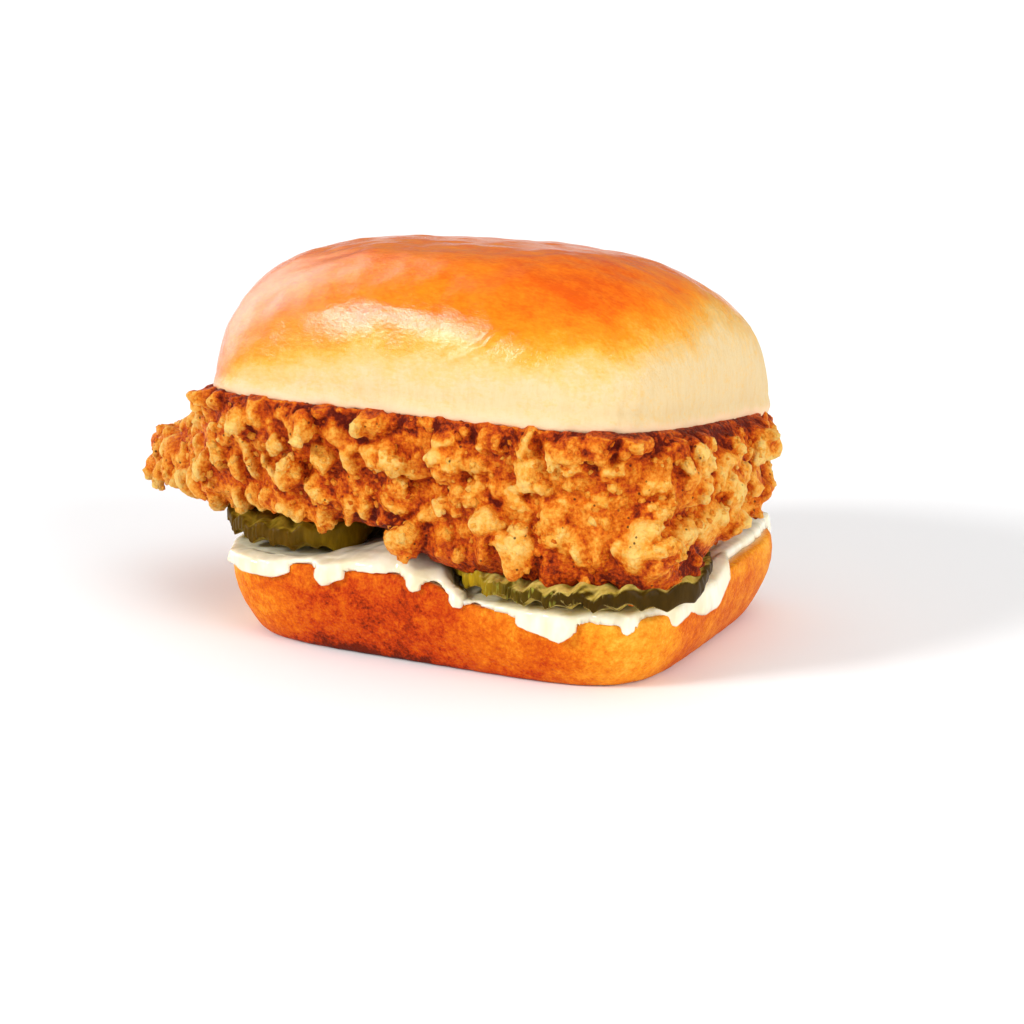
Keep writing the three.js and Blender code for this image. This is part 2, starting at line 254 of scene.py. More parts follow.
def finish(piece, material, node):
    """Gives a piece its material, and says which solid it stands for."""
    piece.data.materials.clear()
    piece.data.materials.append(material)
    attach(piece, "root")
    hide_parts(node)


heel = solid_copy("bun_heel", "heel_bread", crease_angle=45)
use_modifier(heel, "SUBSURF", levels=2, render_levels=2)
remesh(heel, CRUST_VOXEL, 3)
points, normals = read_mesh(heel)
direction = around(points)
outside = step(np.hypot(normals[:, 0], normals[:, 1]), 0.25, 0.7)
undulation = lumps(points, 9, 3.1) * 0.22 + lumps(points, 3.2, 7.7) * 0.07
pitting = lumps(points, 1.1, 1.3) * 0.035
above_foot = step(points[:, 2], 0.3, 2.5)
points += normals * ((undulation + pitting) * outside * above_foot)[:, None]
write_points(heel, points)

HEEL_TOAST = [
    (-180, 0.36), (-152, 0.30), (-140, 0.34), (-126, 0.55), (-112, 0.80), (-98, 0.84), (-84, 0.74),
    (-72, 0.60), (-60, 0.50), (-48, 0.34), (-38, 0.37), (-26, 0.50), (0, 0.54), (30, 0.45),
    (60, 0.55), (95, 0.72), (130, 0.6), (180, 0.36),
]
toast = np.interp(direction, *zip(*HEEL_TOAST))
toast += lumps(points, 11, 5.5) * 0.16 + lumps(points, 4, 8.2) * 0.12
foot_burn = step(points[:, 2] + lumps(points, 5, 2.2) * 1.2, 3.2, 0.2)
FOOT_BURN = [
    (-180, 0.1), (-150, 0.05), (-125, 0.15), (-105, 0.3), (-85, 0.22), (-60, 0.1), (-40, 0.05),
    (0, 0.12), (60, 0.2), (100, 0.3), (180, 0.1),
]
toast += foot_burn * np.interp(direction, *zip(*FOOT_BURN))
toast -= step(points[:, 2], 9.5, 13.5) * 0.14
paint(heel, "toast", toast)
paint(heel, "crumb", step(normals[:, 2], 0.55, 0.85) * step(share_out(points), 0.97, 0.93))

# Baked and fried crusts all have soft patches and fine flecks, lighter and darker.
mottling = bpy.data.node_groups.new("mottling", "ShaderNodeTree")
for name, kind in [
    ("Place", "NodeSocketVector"), ("Patch Size", "NodeSocketFloat"),
    ("Patch Share", "NodeSocketFloat"), ("Fleck Size", "NodeSocketFloat"),
    ("Fleck Share", "NodeSocketFloat"),
]:
    mottling.interface.new_socket(name, in_out="INPUT", socket_type=kind)
mottling.interface.new_socket("Tone", in_out="OUTPUT", socket_type="NodeSocketFloat")
given = mottling.nodes.new("NodeGroupInput").outputs
sums = []
for kind in ("Patch", "Fleck"):
    scale = maths(mottling, "DIVIDE", 1.0, given[kind + " Size"])
    noise_inputs = {"Vector": given["Place"], "Scale": scale, "Detail": 4.0, "Roughness": 0.65}
    spots = add(mottling, "TexNoise", noise_inputs).outputs["Fac"]
    sums.append(maths(mottling, "MULTIPLY", reach(mottling, spots, 0.27, 0.73, -1, 1),
                      given[kind + " Share"]))
both = maths(mottling, "ADD", sums[0], sums[1])
mottling.links.new(both, mottling.nodes.new("NodeGroupOutput").inputs["Tone"])


def mottled(tree, where, tone, patch_size, patch_share, fleck_size, fleck_share):
    """A tone with the crusts' patches and flecks added, their sizes in millimetres."""
    made = tree.nodes.new("ShaderNodeGroup")
    made.node_tree = mottling
    tree.links.new(where, made.inputs["Place"])
    made.inputs["Patch Size"].default_value = patch_size
    made.inputs["Patch Share"].default_value = patch_share
    made.inputs["Fleck Size"].default_value = fleck_size
    made.inputs["Fleck Share"].default_value = fleck_share
    return maths(tree, "ADD", tone, made.outputs["Tone"])


material, tree, shader = new_material("heel_crust")
where = place(tree)
tone = mottled(tree, where, stored(tree, "toast"), 1.5, 0.17, 0.45, 0.14)
crust = ramp(tree, tone, [
    (0.0, linear(246, 184, 66)),
    (0.3, linear(234, 146, 30)),
    (0.55, linear(214, 102, 8)),
    (0.8, linear(184, 56, 2)),
    (1.0, linear(104, 26, 0)),
])
crumb = ramp(tree, grain(tree, where, 1.2, 4, 0.7), [
    (0.3, linear(222, 184, 128)),
    (0.7, linear(250, 232, 190)),
])
tree.links.new(mix(tree, stored(tree, "crumb"), crust, crumb), shader.inputs["Base Color"])
pores = reach(tree, cells(tree, where, 0.8), 0.1, 0.45)
relief = bump(tree, pores, 0.10, 0.8)
relief = bump(tree, grain(tree, where, 0.5, 4, 0.7), 0.16, 0.9, relief)
tree.links.new(relief, shader.inputs["Normal"])
shader.inputs["Roughness"].default_value = 0.55
shader.inputs["Specular IOR Level"].default_value = 0.08
finish(heel, material, "bun_heel")


# Mayonnaise, squeezed on the heel and pressed out by the slices and the fillet. It hangs over
# the cut edge in soft thick lobes, glossy and a little see-through where it is thin.
MAYONNAISE_VOXEL = 0.42
BUN_HALVES = np.array([BUN_HALF_LENGTH, BUN_HALF_WIDTH])
mayonnaise = solid_copy("mayonnaise", "mayonnaise_spread")
remesh(mayonnaise, MAYONNAISE_VOXEL, 5)
points, normals = read_mesh(mayonnaise)
points += normals * (lumps(points, 5, 4.4) * 0.28 + lumps(points, 2.0, 9.1) * 0.08)[:, None]

# The lobes over the edge are pulled onto the crust and swell outwards. The spread is thicker
# under the right slice, and stops short of the bun's right end.
outward = np.sign(points[:, :2]) * np.abs(points[:, :2] / BUN_HALVES) ** (SQUARENESS - 1) / BUN_HALVES
outward /= np.maximum(np.linalg.norm(outward, axis=1, keepdims=True), 1e-9)
turned_out = (normals[:, :2] * outward).sum(axis=1)
over_edge = step(share_out(points), 0.94, 0.99)
points[:, :2] -= outward * (step(turned_out, 0.45, -0.1) * over_edge * 1.3)[:, None]
points[:, 2] -= over_edge * step(normals[:, 2], 0.6, -0.2) * 0.6
swell = step(turned_out, 0.1, 0.8) * over_edge
swell *= step(points[:, 0], 38, 33)
points[:, 2] += step(normals[:, 2], 0.3, 0.8) * step(points[:, 0], 12, 24) * 0.6
points[:, 0] -= step(points[:, 0], 33, 38) * 0.9
points[:, :2] += outward * (swell * (0.35 + lumps(points, 2.6, 5.9) * 0.45))[:, None]
write_points(mayonnaise, points)

material, tree, shader = new_material("mayonnaise")
where = place(tree)
streaks = grain(tree, place(tree, (1, 1, 0.4)), 3.0, 3, 0.5)
body = ramp(tree, streaks, [(0.3, linear(226, 216, 180)), (0.7, linear(248, 242, 220))])
tree.links.new(body, shader.inputs["Base Color"])
relief = bump(tree, grain(tree, where, 1.6, 2, 0.4), 0.25, 0.5)
tree.links.new(relief, shader.inputs["Normal"])
shader.inputs["Roughness"].default_value = 0.22
shader.inputs["Subsurface Weight"].default_value = 0.35
shader.inputs["Subsurface Radius"].default_value = (1.0, 0.8, 0.45)
shader.inputs["Subsurface Scale"].default_value = 1.5 * MM
shader.inputs["Coat Weight"].default_value = 0.4
shader.inputs["Coat Roughness"].default_value = 0.12
finish(mayonnaise, material, "mayonnaise")


# Two crinkle-cut slices of pickled cucumber. The rim is olive skin, warty in places, and the
# faces are wet yellow-green flesh with a row of pale seeds round the middle.
PICKLE_VOXEL = 0.26
CRINKLE = 3.5
CRINKLE_DEPTH = 0.9
WART_HEIGHT = 0.16
TOP_RISE = 1.55


def pickle(node, name, centre, radius, skin_stops, flesh_stops, wart_zone):
    """A slice of pickle, its skin and flesh told apart by their place on the slice.

    The skin's colours follow the way round the rim, and warts stand in the zone from one
    direction to another, in degrees.
    """
    slice_ = solid_copy(node, name)
    use_modifier(slice_, "SUBSURF", levels=1, render_levels=1)
    remesh(slice_, PICKLE_VOXEL, 3)
    points, normals = read_mesh(slice_)
    offset = points - np.array(centre)
    outness = np.hypot(offset[:, 0], offset[:, 1]) / radius
    rim = step(np.hypot(normals[:, 0], normals[:, 1]), 0.35, 0.8) * step(outness, 0.8, 0.9)
    turn = np.degrees(np.arctan2(offset[:, 1], offset[:, 0]))
    low, high = wart_zone
    in_zone = step(turn, low - 8, low + 8) * step(turn, high + 8, high - 8)
    underside = step(points[:, 0], 12, 24) * 0.6 - 0.15
    points[:, 2] += underside + step(normals[:, 2], -0.5, 0.5) * (TOP_RISE - underside)
    points[:, :2] += offset[:, :2] / radius * 0.5
    ridges = (offset[:, 0] * 0.95 + offset[:, 1] * 0.3) / CRINKLE + lumps(points, 8, 2.5) * 0.12
    wave = np.sqrt(np.sin(ridges * math.pi) ** 2 + 0.03)
    points[:, 2] += (wave - 0.65) * CRINKLE_DEPTH
    dips = lumps(points, 2.6, 1.7) * 0.12 + lumps(points, 0.9, 6.3) * 0.03
    warts = step(lumps(points, 0.62, 2.9), 0.18, 0.5) * WART_HEIGHT * in_zone
    points += normals * (dips + warts * rim)[:, None]
    write_points(slice_, points)
    paint(slice_, "skin", rim)
    paint(slice_, "turn", (turn + 180) / 360)
    paint(slice_, "wart", warts / WART_HEIGHT * rim)
    paint(slice_, "seeds", np.exp(-((outness - 0.55) / 0.16) ** 2))

    material, tree, shader = new_material(name)
    where = place(tree)
    skin = ramp(tree, stored(tree, "turn"), skin_stops)
    veins = grain(tree, place(tree, (1, 1, 0.3)), 1.3, 3, 0.6)
    skin = mix(tree, reach(tree, veins, 0.35, 0.7, 0, 0.5), skin, linear(40, 28, 4))
    wart = reach(tree, stored(tree, "wart"), 0.2, 0.9, 0, 0.7)
    skin = mix(tree, wart, skin, linear(160, 158, 62))
    flesh = ramp(tree, grain(tree, where, 1.8, 3, 0.6), flesh_stops)
    seeds = reach(tree, cells(tree, where, 2.4), 0.3, 0.1)
    seeds = maths(tree, "MULTIPLY", stored(tree, "seeds"), seeds)
    flesh = mix(tree, seeds, flesh, linear(214, 200, 124))
    color = mix(tree, stored(tree, "skin"), flesh, skin)
    tree.links.new(color, shader.inputs["Base Color"])
    tree.links.new(bump(tree, veins, 0.12, 0.6), shader.inputs["Normal"])
    shader.inputs["Roughness"].default_value = 0.34
    shader.inputs["Specular IOR Level"].default_value = 0.03
    shader.inputs["Subsurface Weight"].default_value = 0.2
    shader.inputs["Subsurface Radius"].default_value = (1.0, 1.0, 0.3)
    shader.inputs["Subsurface Scale"].default_value = 1.2 * MM
    shader.inputs["Coat Weight"].default_value = 0.04
    shader.inputs["Coat Roughness"].default_value = 0.08
    finish(slice_, material, node)


pickle(
    "pickle_slice_left", "pickle_left", (-28.2, -15.6, 17.0), 13.2,
    [(0.0, linear(88, 62, 6)), (0.3, linear(94, 66, 8)), (0.42, linear(146, 116, 14)),
     (0.6, linear(80, 60, 10))],
    [(0.3, linear(96, 76, 12)), (0.7, linear(170, 142, 44))],
    (-20, 40),
)
pickle(
    "pickle_slice_right", "pickle_right", (21.8, -14.8, 14.9), 20.3,
    [(0.05, linear(206, 176, 40)), (0.14, linear(176, 142, 22)), (0.21, linear(92, 72, 10)),
     (0.30, linear(64, 44, 4)), (0.6, linear(66, 46, 6))],
    [(0.3, linear(166, 142, 44)), (0.7, linear(214, 190, 104))],
    (-125, -78),
)


# The fillet is one piece of chicken breast, floured, wetted and deep-fried, so its breading has
# risen in hard golden nuggets and flakes over a redder crust, with specks of pepper in it.
# Its tone is also painted darker in the crevices and lighter on the peaks, as painted shade.
BODY_VOXEL = 0.7
LARGE_VOXEL = 0.42
FILLET_VOXEL = 0.36
FILLET_LIMIT = 196000
PLATES_END = -12
CROWN_CENTRE = (-1.4, -1.1, 37.4)
CROWN_TURN = (-8.0, -0.9, -1.3)
CROWN_HALF_LENGTH = 40.4
CROWN_HALF_WIDTH = 32.2
fillet = solid_copy("chicken_fillet", "fillet_breading")
remesh(fillet, BODY_VOXEL, 12)
crown_frame = Matrix.Translation(CROWN_CENTRE) @ Euler(
    [math.radians(angle) for angle in CROWN_TURN], "XYZ").to_matrix().to_4x4()
to_crown = np.array(crown_frame.inverted())


def in_crown(points):
    """Places seen from the crown: its cut face is at height 0."""
    return points @ to_crown[:3, :3].T + to_crown[:3, 3]


def ceiling(seat):
    """How high the breading may stand, seen from the crown.

    It fills the room under the crown, and slopes down round it, most at the far left.
    """
    beyond = np.clip(share_out(seat, CROWN_HALF_LENGTH, CROWN_HALF_WIDTH) - 0.995, 0, 0.3)
    far_left = step(seat[:, 1], -4, 14) * np.clip(-38 - seat[:, 0], 0, 10)
    return 0.15 - 16 * beyond - 0.55 * far_left


def inside_bun(points, inset):
    """Which points lie under or over the bun, that far inside its edge."""
    across = np.abs(points[:, 0]) / (BUN_HALF_LENGTH - inset)
    along = np.abs(points[:, 1]) / (BUN_HALF_WIDTH - inset)
    return across ** SQUARENESS + along ** SQUARENESS < 1


def hidden(points, normals, inset):
    """Which points can't be seen, because they lie under the crown or on the heel."""
    return inside_bun(points, inset) & (np.abs(normals[:, 2]) > 0.3)


def spread(piece, count, gap, seed, wanted, squash=(1, 1, 1)):
    """Places on the seen surface of a piece, no two nearer than gap, and their normals.

    The function wanted says where they may lie. A squash brings them closer in one direction.
    """
    draws = np.random.default_rng(seed)
    mesh = piece.data
    mesh.calc_loop_triangles()
    corners = np.empty(len(mesh.loop_triangles) * 3, np.int32)
    mesh.loop_triangles.foreach_get("vertices", corners)
    corners = corners.reshape(-1, 3)
    points, normals = read_mesh(piece)
    first, second, third = points[corners[:, 0]], points[corners[:, 1]], points[corners[:, 2]]
    areas = np.linalg.norm(np.cross(second - first, third - first), axis=1) / 2
    picks = draws.choice(len(corners), count * 8, p=areas / areas.sum())
    one, two = draws.random((2, len(picks)))
    folded = one + two > 1
    one[folded], two[folded] = 1 - one[folded], 1 - two[folded]
    places = first[picks] + (second - first)[picks] * one[:, None]
    places = places + (third - first)[picks] * two[:, None]
    facing = normals[corners[picks, 0]]
    seen = ~hidden(places, facing, 4) & wanted(places, draws)
    places, facing = places[seen], facing[seen]
    spaced = places * squash
    taken = {}
    kept = []
    for index, point in enumerate(spaced):
        cell = tuple(np.floor(point / gap).astype(int))
        near = [
            other
            for x in (-1, 0, 1) for y in (-1, 0, 1) for z in (-1, 0, 1)
            for other in taken.get((cell[0] + x, cell[1] + y, cell[2] + z), ())
        ]
        if near and (((spaced[near] - point) ** 2).sum(axis=1) < gap * gap).any():
            continue
        taken.setdefault(cell, []).append(index)
        kept.append(index)
        if len(kept) == count:
            break
    return places[kept], facing[kept], draws


def ball(rounds):
    """The points and faces of a small ball, as a start for nuggets."""
    bpy.ops.object.select_all(action="DESELECT")
    bpy.ops.mesh.primitive_ico_sphere_add(subdivisions=rounds, radius=MM)
    made = bpy.context.object
    points = read_mesh(made)[0]
    faces = np.array([list(face.vertices) for face in made.data.polygons])
    bpy.data.objects.remove(made)
    return points, faces


def nuggets(places, facing, shapes, draws, start, lean=0.45, most_lobes=1):
    """Rough nuggets of breading on a surface, as one mesh, each grown together from lobes.

    A shape is (wide, tall, deep, sunk): half sizes in millimetres, and how far the nugget's
    middle lies under the surface, as a share of its depth. Each lobe is a ball with flat cuts.
    """
    start_points, start_faces = start
    seat = in_crown(places)
    _, tall, deep, _ = np.array(shapes).T
    upright = np.sqrt(np.maximum(1 - facing[:, 2] ** 2, 0))
    heights = tall * 0.75 * upright + deep * 0.8 * np.maximum(facing[:, 2], 0)
    places = places - np.maximum(seat[:, 2] + heights - ceiling(seat), 0)[:, None] * (0, 0, 1)
    forms = []
    for place_, out, (wide, tall, deep, sunk) in zip(places, facing, shapes):
        side = np.cross((0, 0, 1), out)
        side /= max(np.linalg.norm(side), 1e-6)
        rise = np.cross(out, side)
        turn = draws.normal(0, lean)
        side, rise = (
            side * math.cos(turn) + rise * math.sin(turn),
            rise * math.cos(turn) - side * math.sin(turn),
        )
        lobes = draws.integers(max(1, most_lobes - 2), most_lobes + 1)
        for lobe in range(lobes):
            share = 1.0 if lobes == 1 else draws.uniform(0.55, 0.85)
            swing = draws.uniform(0, 2 * math.pi)
            apart = 0 if lobe == 0 else draws.uniform(0.45, 0.75)
            middle = np.array([math.cos(swing) * apart, math.sin(swing) * apart,
                               0 if lobe == 0 else draws.uniform(-0.2, 0.35)])
            form = start_points.copy()
            for _ in range(6):
                cut = draws.normal(size=3)
                cut /= np.linalg.norm(cut)
                over = np.maximum(form @ cut - draws.uniform(0.45, 0.8), 0)
                form -= over[:, None] * cut
            form *= (1.12 + lumps(form, 0.6, draws.uniform(0, 90)) * 0.16)[:, None]
            form = (form * share + middle) * (wide, tall, deep)
            forms.append(place_ - out * deep * sunk + form @ np.array([side, rise, out]))
    shift = np.arange(len(forms))[:, None, None] * len(start_points)
    faces = (start_faces[None] + shift).reshape(-1, 3)
    mesh = bpy.data.meshes.new("nuggets")
    mesh.from_pydata((np.concatenate(forms) * MM).tolist(), [], faces.tolist())
    made = bpy.data.objects.new("nuggets", mesh)
    bpy.context.collection.objects.link(made)
    return made


def fuse(piece, others, voxel):
    """Joins other meshes to a piece and gives them one common skin."""
    bpy.ops.object.select_all(action="DESELECT")
    for other in others:
        other.select_set(True)
    piece.select_set(True)
    bpy.context.view_layer.objects.active = piece
    bpy.ops.object.join()
    remesh(piece, voxel, 1)


def smoothed_points(piece, times):
    """Where the points of a piece would be, were it smoothed that many times."""
    twin = bpy.data.objects.new("twin", piece.data.copy())
    bpy.context.collection.objects.link(twin)
    use_modifier(twin, "SMOOTH", factor=0.5, iterations=times)
    points = read_mesh(twin)[0]
    bpy.data.objects.remove(twin)
    return points


def triangle_count(piece):
    """How many triangles a piece's mesh makes."""
    piece.data.calc_loop_triangles()
    return len(piece.data.loop_triangles)


coarse_ball = ball(2)
fine_ball = ball(3)

# The body is thinner than the solid by the depth of the nuggets. It sags onto the heel, less so
# at the far right, and just under the crown it stands out to the bun's edge.
NUGGET_DEPTH = 1.5
points, normals = read_mesh(fillet)
depth = NUGGET_DEPTH * np.interp(points[:, 0], (-69, -50), (0.3, 1.0))
low = step(points[:, 2] + lumps(points, 6, 3.7) * 3, 23, 18) * step(points[:, 0], -14, -4)
points += normals * (lumps(points, 7.5, 3.3) * (0.9 + 0.7 * low) - depth * (1 - 0.5 * low))[:, None]
sag = step(points[:, 0], -60, -40) * np.interp(points[:, 0], (-12, 4), (1.6, 3.2))
sag *= 1 - 1.7 * step(points[:, 0], 28, 37) * step(points[:, 1], -16, -4)
points[:, 2] -= step(normals[:, 2], 0.1, -0.6) * sag
seat = in_crown(points)
outline = share_out(seat, CROWN_HALF_LENGTH, CROWN_HALF_WIDTH)
push = step(outline, 0.5, 0.9) * step(-seat[:, 2], 11, 5) * np.maximum(0.985 - outline, 0)
points[:, :2] *= (1 + push / np.maximum(outline, 0.1))[:, None]
near = step(seat[:, 2], -9, -5) * step(normals[:, 2], -0.1, 0.5)
slope = 0.3 - 17 * np.maximum(outline - 0.985, 0)
points[:, 2] += near * np.maximum(slope - seat[:, 2], 0) * step(outline, 1.2, 1.08)
write_points(fillet, points)


def on_plates(points, draws):
    """Which points lie at the tapered end, with a ragged edge to that zone."""
    return points[:, 0] < PLATES_END + draws.normal(0, 4, len(points))


def on_belly(points):
    """Where the breading is left in smooth swells, low down on the long side."""
    return (points[:, 2] + lumps(points, 5, 3.7) * 5 < 23) & (points[:, 0] > -9)


def on_lumps(points, draws):
    """Which points may carry a large lump: nearly none on the belly, and none on bare patches."""
    bare = lumps(points, 11, 4.7) > 0.36
    bare |= on_belly(points) & (draws.random(len(points)) < 0.96)
    return ~on_plates(points, draws) & ~bare


def in_clusters(points, draws):
    """Which points lie in the patches where small nuggets crowd, fewer of them on the belly."""
    level = np.where(on_belly(points), 0.3, 0.0)
    return lumps(points, 6, 2.1) + draws.normal(0, 0.12, len(points)) > level


# The large nuggets are upright plates at the tapered left end, and broad lobed lumps over the
# rest. The low belly and some patches between them are left in smooth swells.
places, facing, draws = spread(fillet, 600, 3.3, seed=16, wanted=on_plates, squash=(1, 1, 0.55))
shapes = []
for place_ in places:
    size = np.interp(place_[0], (-68, -52, -42), (0.62, 0.75, 1.0))
    shapes.append((size * draws.uniform(1.3, 1.8), size * draws.uniform(2.8, 4.4),
                   size * draws.uniform(1.9, 2.8), 0.22))
plates = nuggets(places, facing, shapes, draws, fine_ball, lean=0.22)
centres = [places]
places, facing, draws = spread(fillet, 600, 3.9, seed=17, wanted=on_lumps)
shapes = []
for _ in places:
    size = draws.uniform(1.9, 3.8)
    shapes.append((size, size * draws.uniform(0.75, 1.2), size * draws.uniform(0.65, 0.9), 0.1))
large = nuggets(places, facing, shapes, draws, fine_ball, lean=0.6, most_lobes=3)
centres.append(places)

# Beyond the bun's edge the body lies lower, which leaves room for the nuggets on it.
NUGGET_ROOM = 1.3
points = read_mesh(fillet)[0]
seat = in_crown(points)
room = NUGGET_ROOM * step(outline, 1.0, 1.07)
points[:, 2] -= np.maximum(seat[:, 2] - ceiling(seat) + room, 0)
write_points(fillet, points)
body = BVHTree.FromPolygons(
    (points * MM).tolist(), [list(face.vertices) for face in fillet.data.polygons])
fuse(fillet, [plates, large], LARGE_VOXEL)

# Middling nuggets sit in clusters on them and in the gaps.
places, facing, draws = spread(fillet, 560, 2.5, seed=29, wanted=in_clusters)
shapes = []
for _ in places:
    size = draws.uniform(0.8, 1.7)
    shapes.append((size, size * draws.uniform(0.8, 1.3), size * draws.uniform(0.6, 0.9), 0.4))
middling = nuggets(places, facing, shapes, draws, coarse_ball, lean=0.6, most_lobes=3)
centres.append(places)
fuse(fillet, [middling], FILLET_VOXEL)

# The relief is sharpened: crevices deeper, peaks prouder, and a fine rough skin over all.
points, normals = read_mesh(fillet)
sharper = (smoothed_points(fillet, 8) - smoothed_points(fillet, 80)) * 0.35
length = np.linalg.norm(sharper, axis=1, keepdims=True)
MOST_SHARPENED = 0.8
points += sharper * np.minimum(1, MOST_SHARPENED / np.maximum(length, 1e-6))
points += normals * (lumps(points, 0.95, 4.2) * 0.12 + lumps(points, 0.55, 8.8) * 0.10)[:, None]
REACH = np.array(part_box("chicken_fillet")) / MM + [[-1, -1.2, -1], [1, 1.2, 1]]


def below_crown(points):
    """The same points, none above the ceiling or far outside the solid's box."""
    seat = in_crown(points)
    points[:, 2] -= np.maximum(seat[:, 2] - ceiling(seat), 0)
    return np.clip(points, REACH[0], REACH[1])


write_points(fillet, below_crown(points))

# What the colour follows is measured before the mesh is thinned, first where it can't be seen:
# how proud of its surroundings a point stands, how high over the body, and on which nugget.
# How proud a point stands is used to paint its crevices darker and its peaks lighter, as painted
# shade.
points, normals = read_mesh(fillet)
proud = ((points - smoothed_points(fillet, 70)) * normals).sum(axis=1)
nub = ((points - smoothed_points(fillet, 6)) * normals).sum(axis=1)
raised = np.array([body.find_nearest(point)[3] for point in points * MM]) / MM
centres = np.concatenate(centres)
tones = np.random.default_rng(41).normal(0, 1, len(centres))
tree_of_centres = KDTree(len(centres))
for index, point in enumerate(centres):
    tree_of_centres.insert(point, index)
tree_of_centres.balance()
group = fillet.vertex_groups.new(name="unseen")
group.add(np.flatnonzero(hidden(points, normals, 5)).tolist(), 1.0, "REPLACE")
triangles = triangle_count(fillet)
if triangles > FILLET_LIMIT:
    use_modifier(
        fillet, "DECIMATE", ratio=FILLET_LIMIT / triangles, vertex_group="unseen",
        vertex_group_factor=1.0,
    )
triangles = triangle_count(fillet)
if triangles > FILLET_LIMIT:
    use_modifier(fillet, "DECIMATE", ratio=FILLET_LIMIT / triangles)
tree_of_points = KDTree(len(points))
for index, point in enumerate(points):
    tree_of_points.insert(point, index)
tree_of_points.balance()
points, normals = read_mesh(fillet)
nearest = np.array([tree_of_points.find(point)[1] for point in points])
paint(fillet, "raised", raised[nearest])
paint(fillet, "batch", [tones[tree_of_centres.find(point)[1]] for point in points])
paint(fillet, "proud", proud[nearest])
paint(fillet, "nub", nub[nearest])


def browning(points):
    """How much darker the breading is painted: close under the crown, partly browner breading and
    partly painted shade under the crown's overhang; low on its belly, painted shade where it turns
    from the light; and a little darker round the middle.
    """
    seat = in_crown(points)
    under_crown = step(lumps(points, 4, 1.9) * 1.4 - seat[:, 2], 5.5, 1.0) * inside_bun(seat, -4)
    belly = step(points[:, 2] + lumps(points, 6, 3.7) * 2, 24, 16) * step(points[:, 0], -45, -10)
    middle = np.exp(-((points[:, 0] + 8) / 14) ** 2)
    return np.maximum(np.maximum(under_crown, belly), middle * 0.36)


paint(fillet, "browned", browning(points))

# Small crumbs of breading cling to it here and there, on the nuggets and between them.
CRUMBS = 2000
places, facing, draws = spread(fillet, CRUMBS, 1.2, seed=31, wanted=in_clusters)
places = below_crown(places)
tiny_ball = ball(1)
shapes = []
for _ in places:
    size = draws.uniform(0.35, 0.9)
    shapes.append((size, size * draws.uniform(0.7, 1.3), size * draws.uniform(0.6, 0.9), 0.4))
crumbs = nuggets(places, facing, shapes, draws, tiny_ball)
crumbs.name = "breading_crumbs"
crumbs.data.name = "breading_crumbs"
for face in crumbs.data.polygons:
    face.use_smooth = True
points = read_mesh(crumbs)[0]
each = len(tiny_ball[0])
height = np.array([body.find_nearest(point)[3] for point in places * MM]) / MM
paint(crumbs, "raised", np.repeat(height, each))
paint(crumbs, "batch", np.repeat(draws.normal(0, 1, len(places)), each))
paint(crumbs, "proud", np.repeat(draws.uniform(-0.1, 0.4, len(places)), each))
paint(crumbs, "nub", np.full(len(points), 0.03))
paint(crumbs, "browned", browning(points))

material, tree, shader = new_material("breading")
where = place(tree)
# The tone is painted darker in crevices and lighter on peaks, from how proud each point stands:
# painted shade. Nuggets standing high over the body are paler than the redder crust beneath them,
# partly their own colour and partly painted shade.
height = maths(tree, "ADD",
               reach(tree, stored(tree, "proud"), -0.45, 0.8, -0.03, 0.33),
               reach(tree, stored(tree, "nub"), -0.10, 0.12, 0.0, 0.26))
height = maths(tree, "ADD", height, reach(tree, stored(tree, "raised"), 0.0, 2.9, 0.17, 0.49))
height = maths(tree, "ADD", height, maths(tree, "MULTIPLY", stored(tree, "batch"), 0.08))
tone = mottled(tree, where, height, 3.2, 0.10, 0.6, 0.18)
# The breading is painted darker close under the crown, partly browner breading and partly painted
# shade, and low on its belly, which is painted shade.
tone = maths(tree, "SUBTRACT", tone, maths(tree, "MULTIPLY", stored(tree, "browned"), 0.32))
crust = ramp(tree, tone, [
    (0.04, linear(104, 20, 0)),
    (0.24, linear(198, 70, 0)),
    (0.42, linear(234, 122, 14)),
    (0.62, linear(254, 172, 60)),
    (0.9, linear(255, 208, 114)),
])
pepper = maths(tree, "MULTIPLY",
               reach(tree, cells(tree, where, 1.6), 0.16, 0.10),
               reach(tree, grain(tree, where, 6.0), 0.48, 0.54))
crust = mix(tree, maths(tree, "MULTIPLY", pepper, 0.85), crust, linear(58, 22, 4))
tree.links.new(crust, shader.inputs["Base Color"])
relief = bump(tree, grain(tree, where, 0.9, 5, 0.8), 0.7, 1.0)
relief = bump(tree, reach(tree, cells(tree, where, 0.55), 0.0, 0.6), 0.16, 0.8, relief)
tree.links.new(relief, shader.inputs["Normal"])
shader.inputs["Roughness"].default_value = 0.5
shader.inputs["Specular IOR Level"].default_value = 0.15
shader.inputs["Subsurface Weight"].default_value = 0.12
shader.inputs["Subsurface Radius"].default_value = (1.0, 0.4, 0.1)
shader.inputs["Subsurface Scale"].default_value = 1.0 * MM
finish(fillet, material, "chicken_fillet")
crumbs.data.materials.append(material)
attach(crumbs, "root")


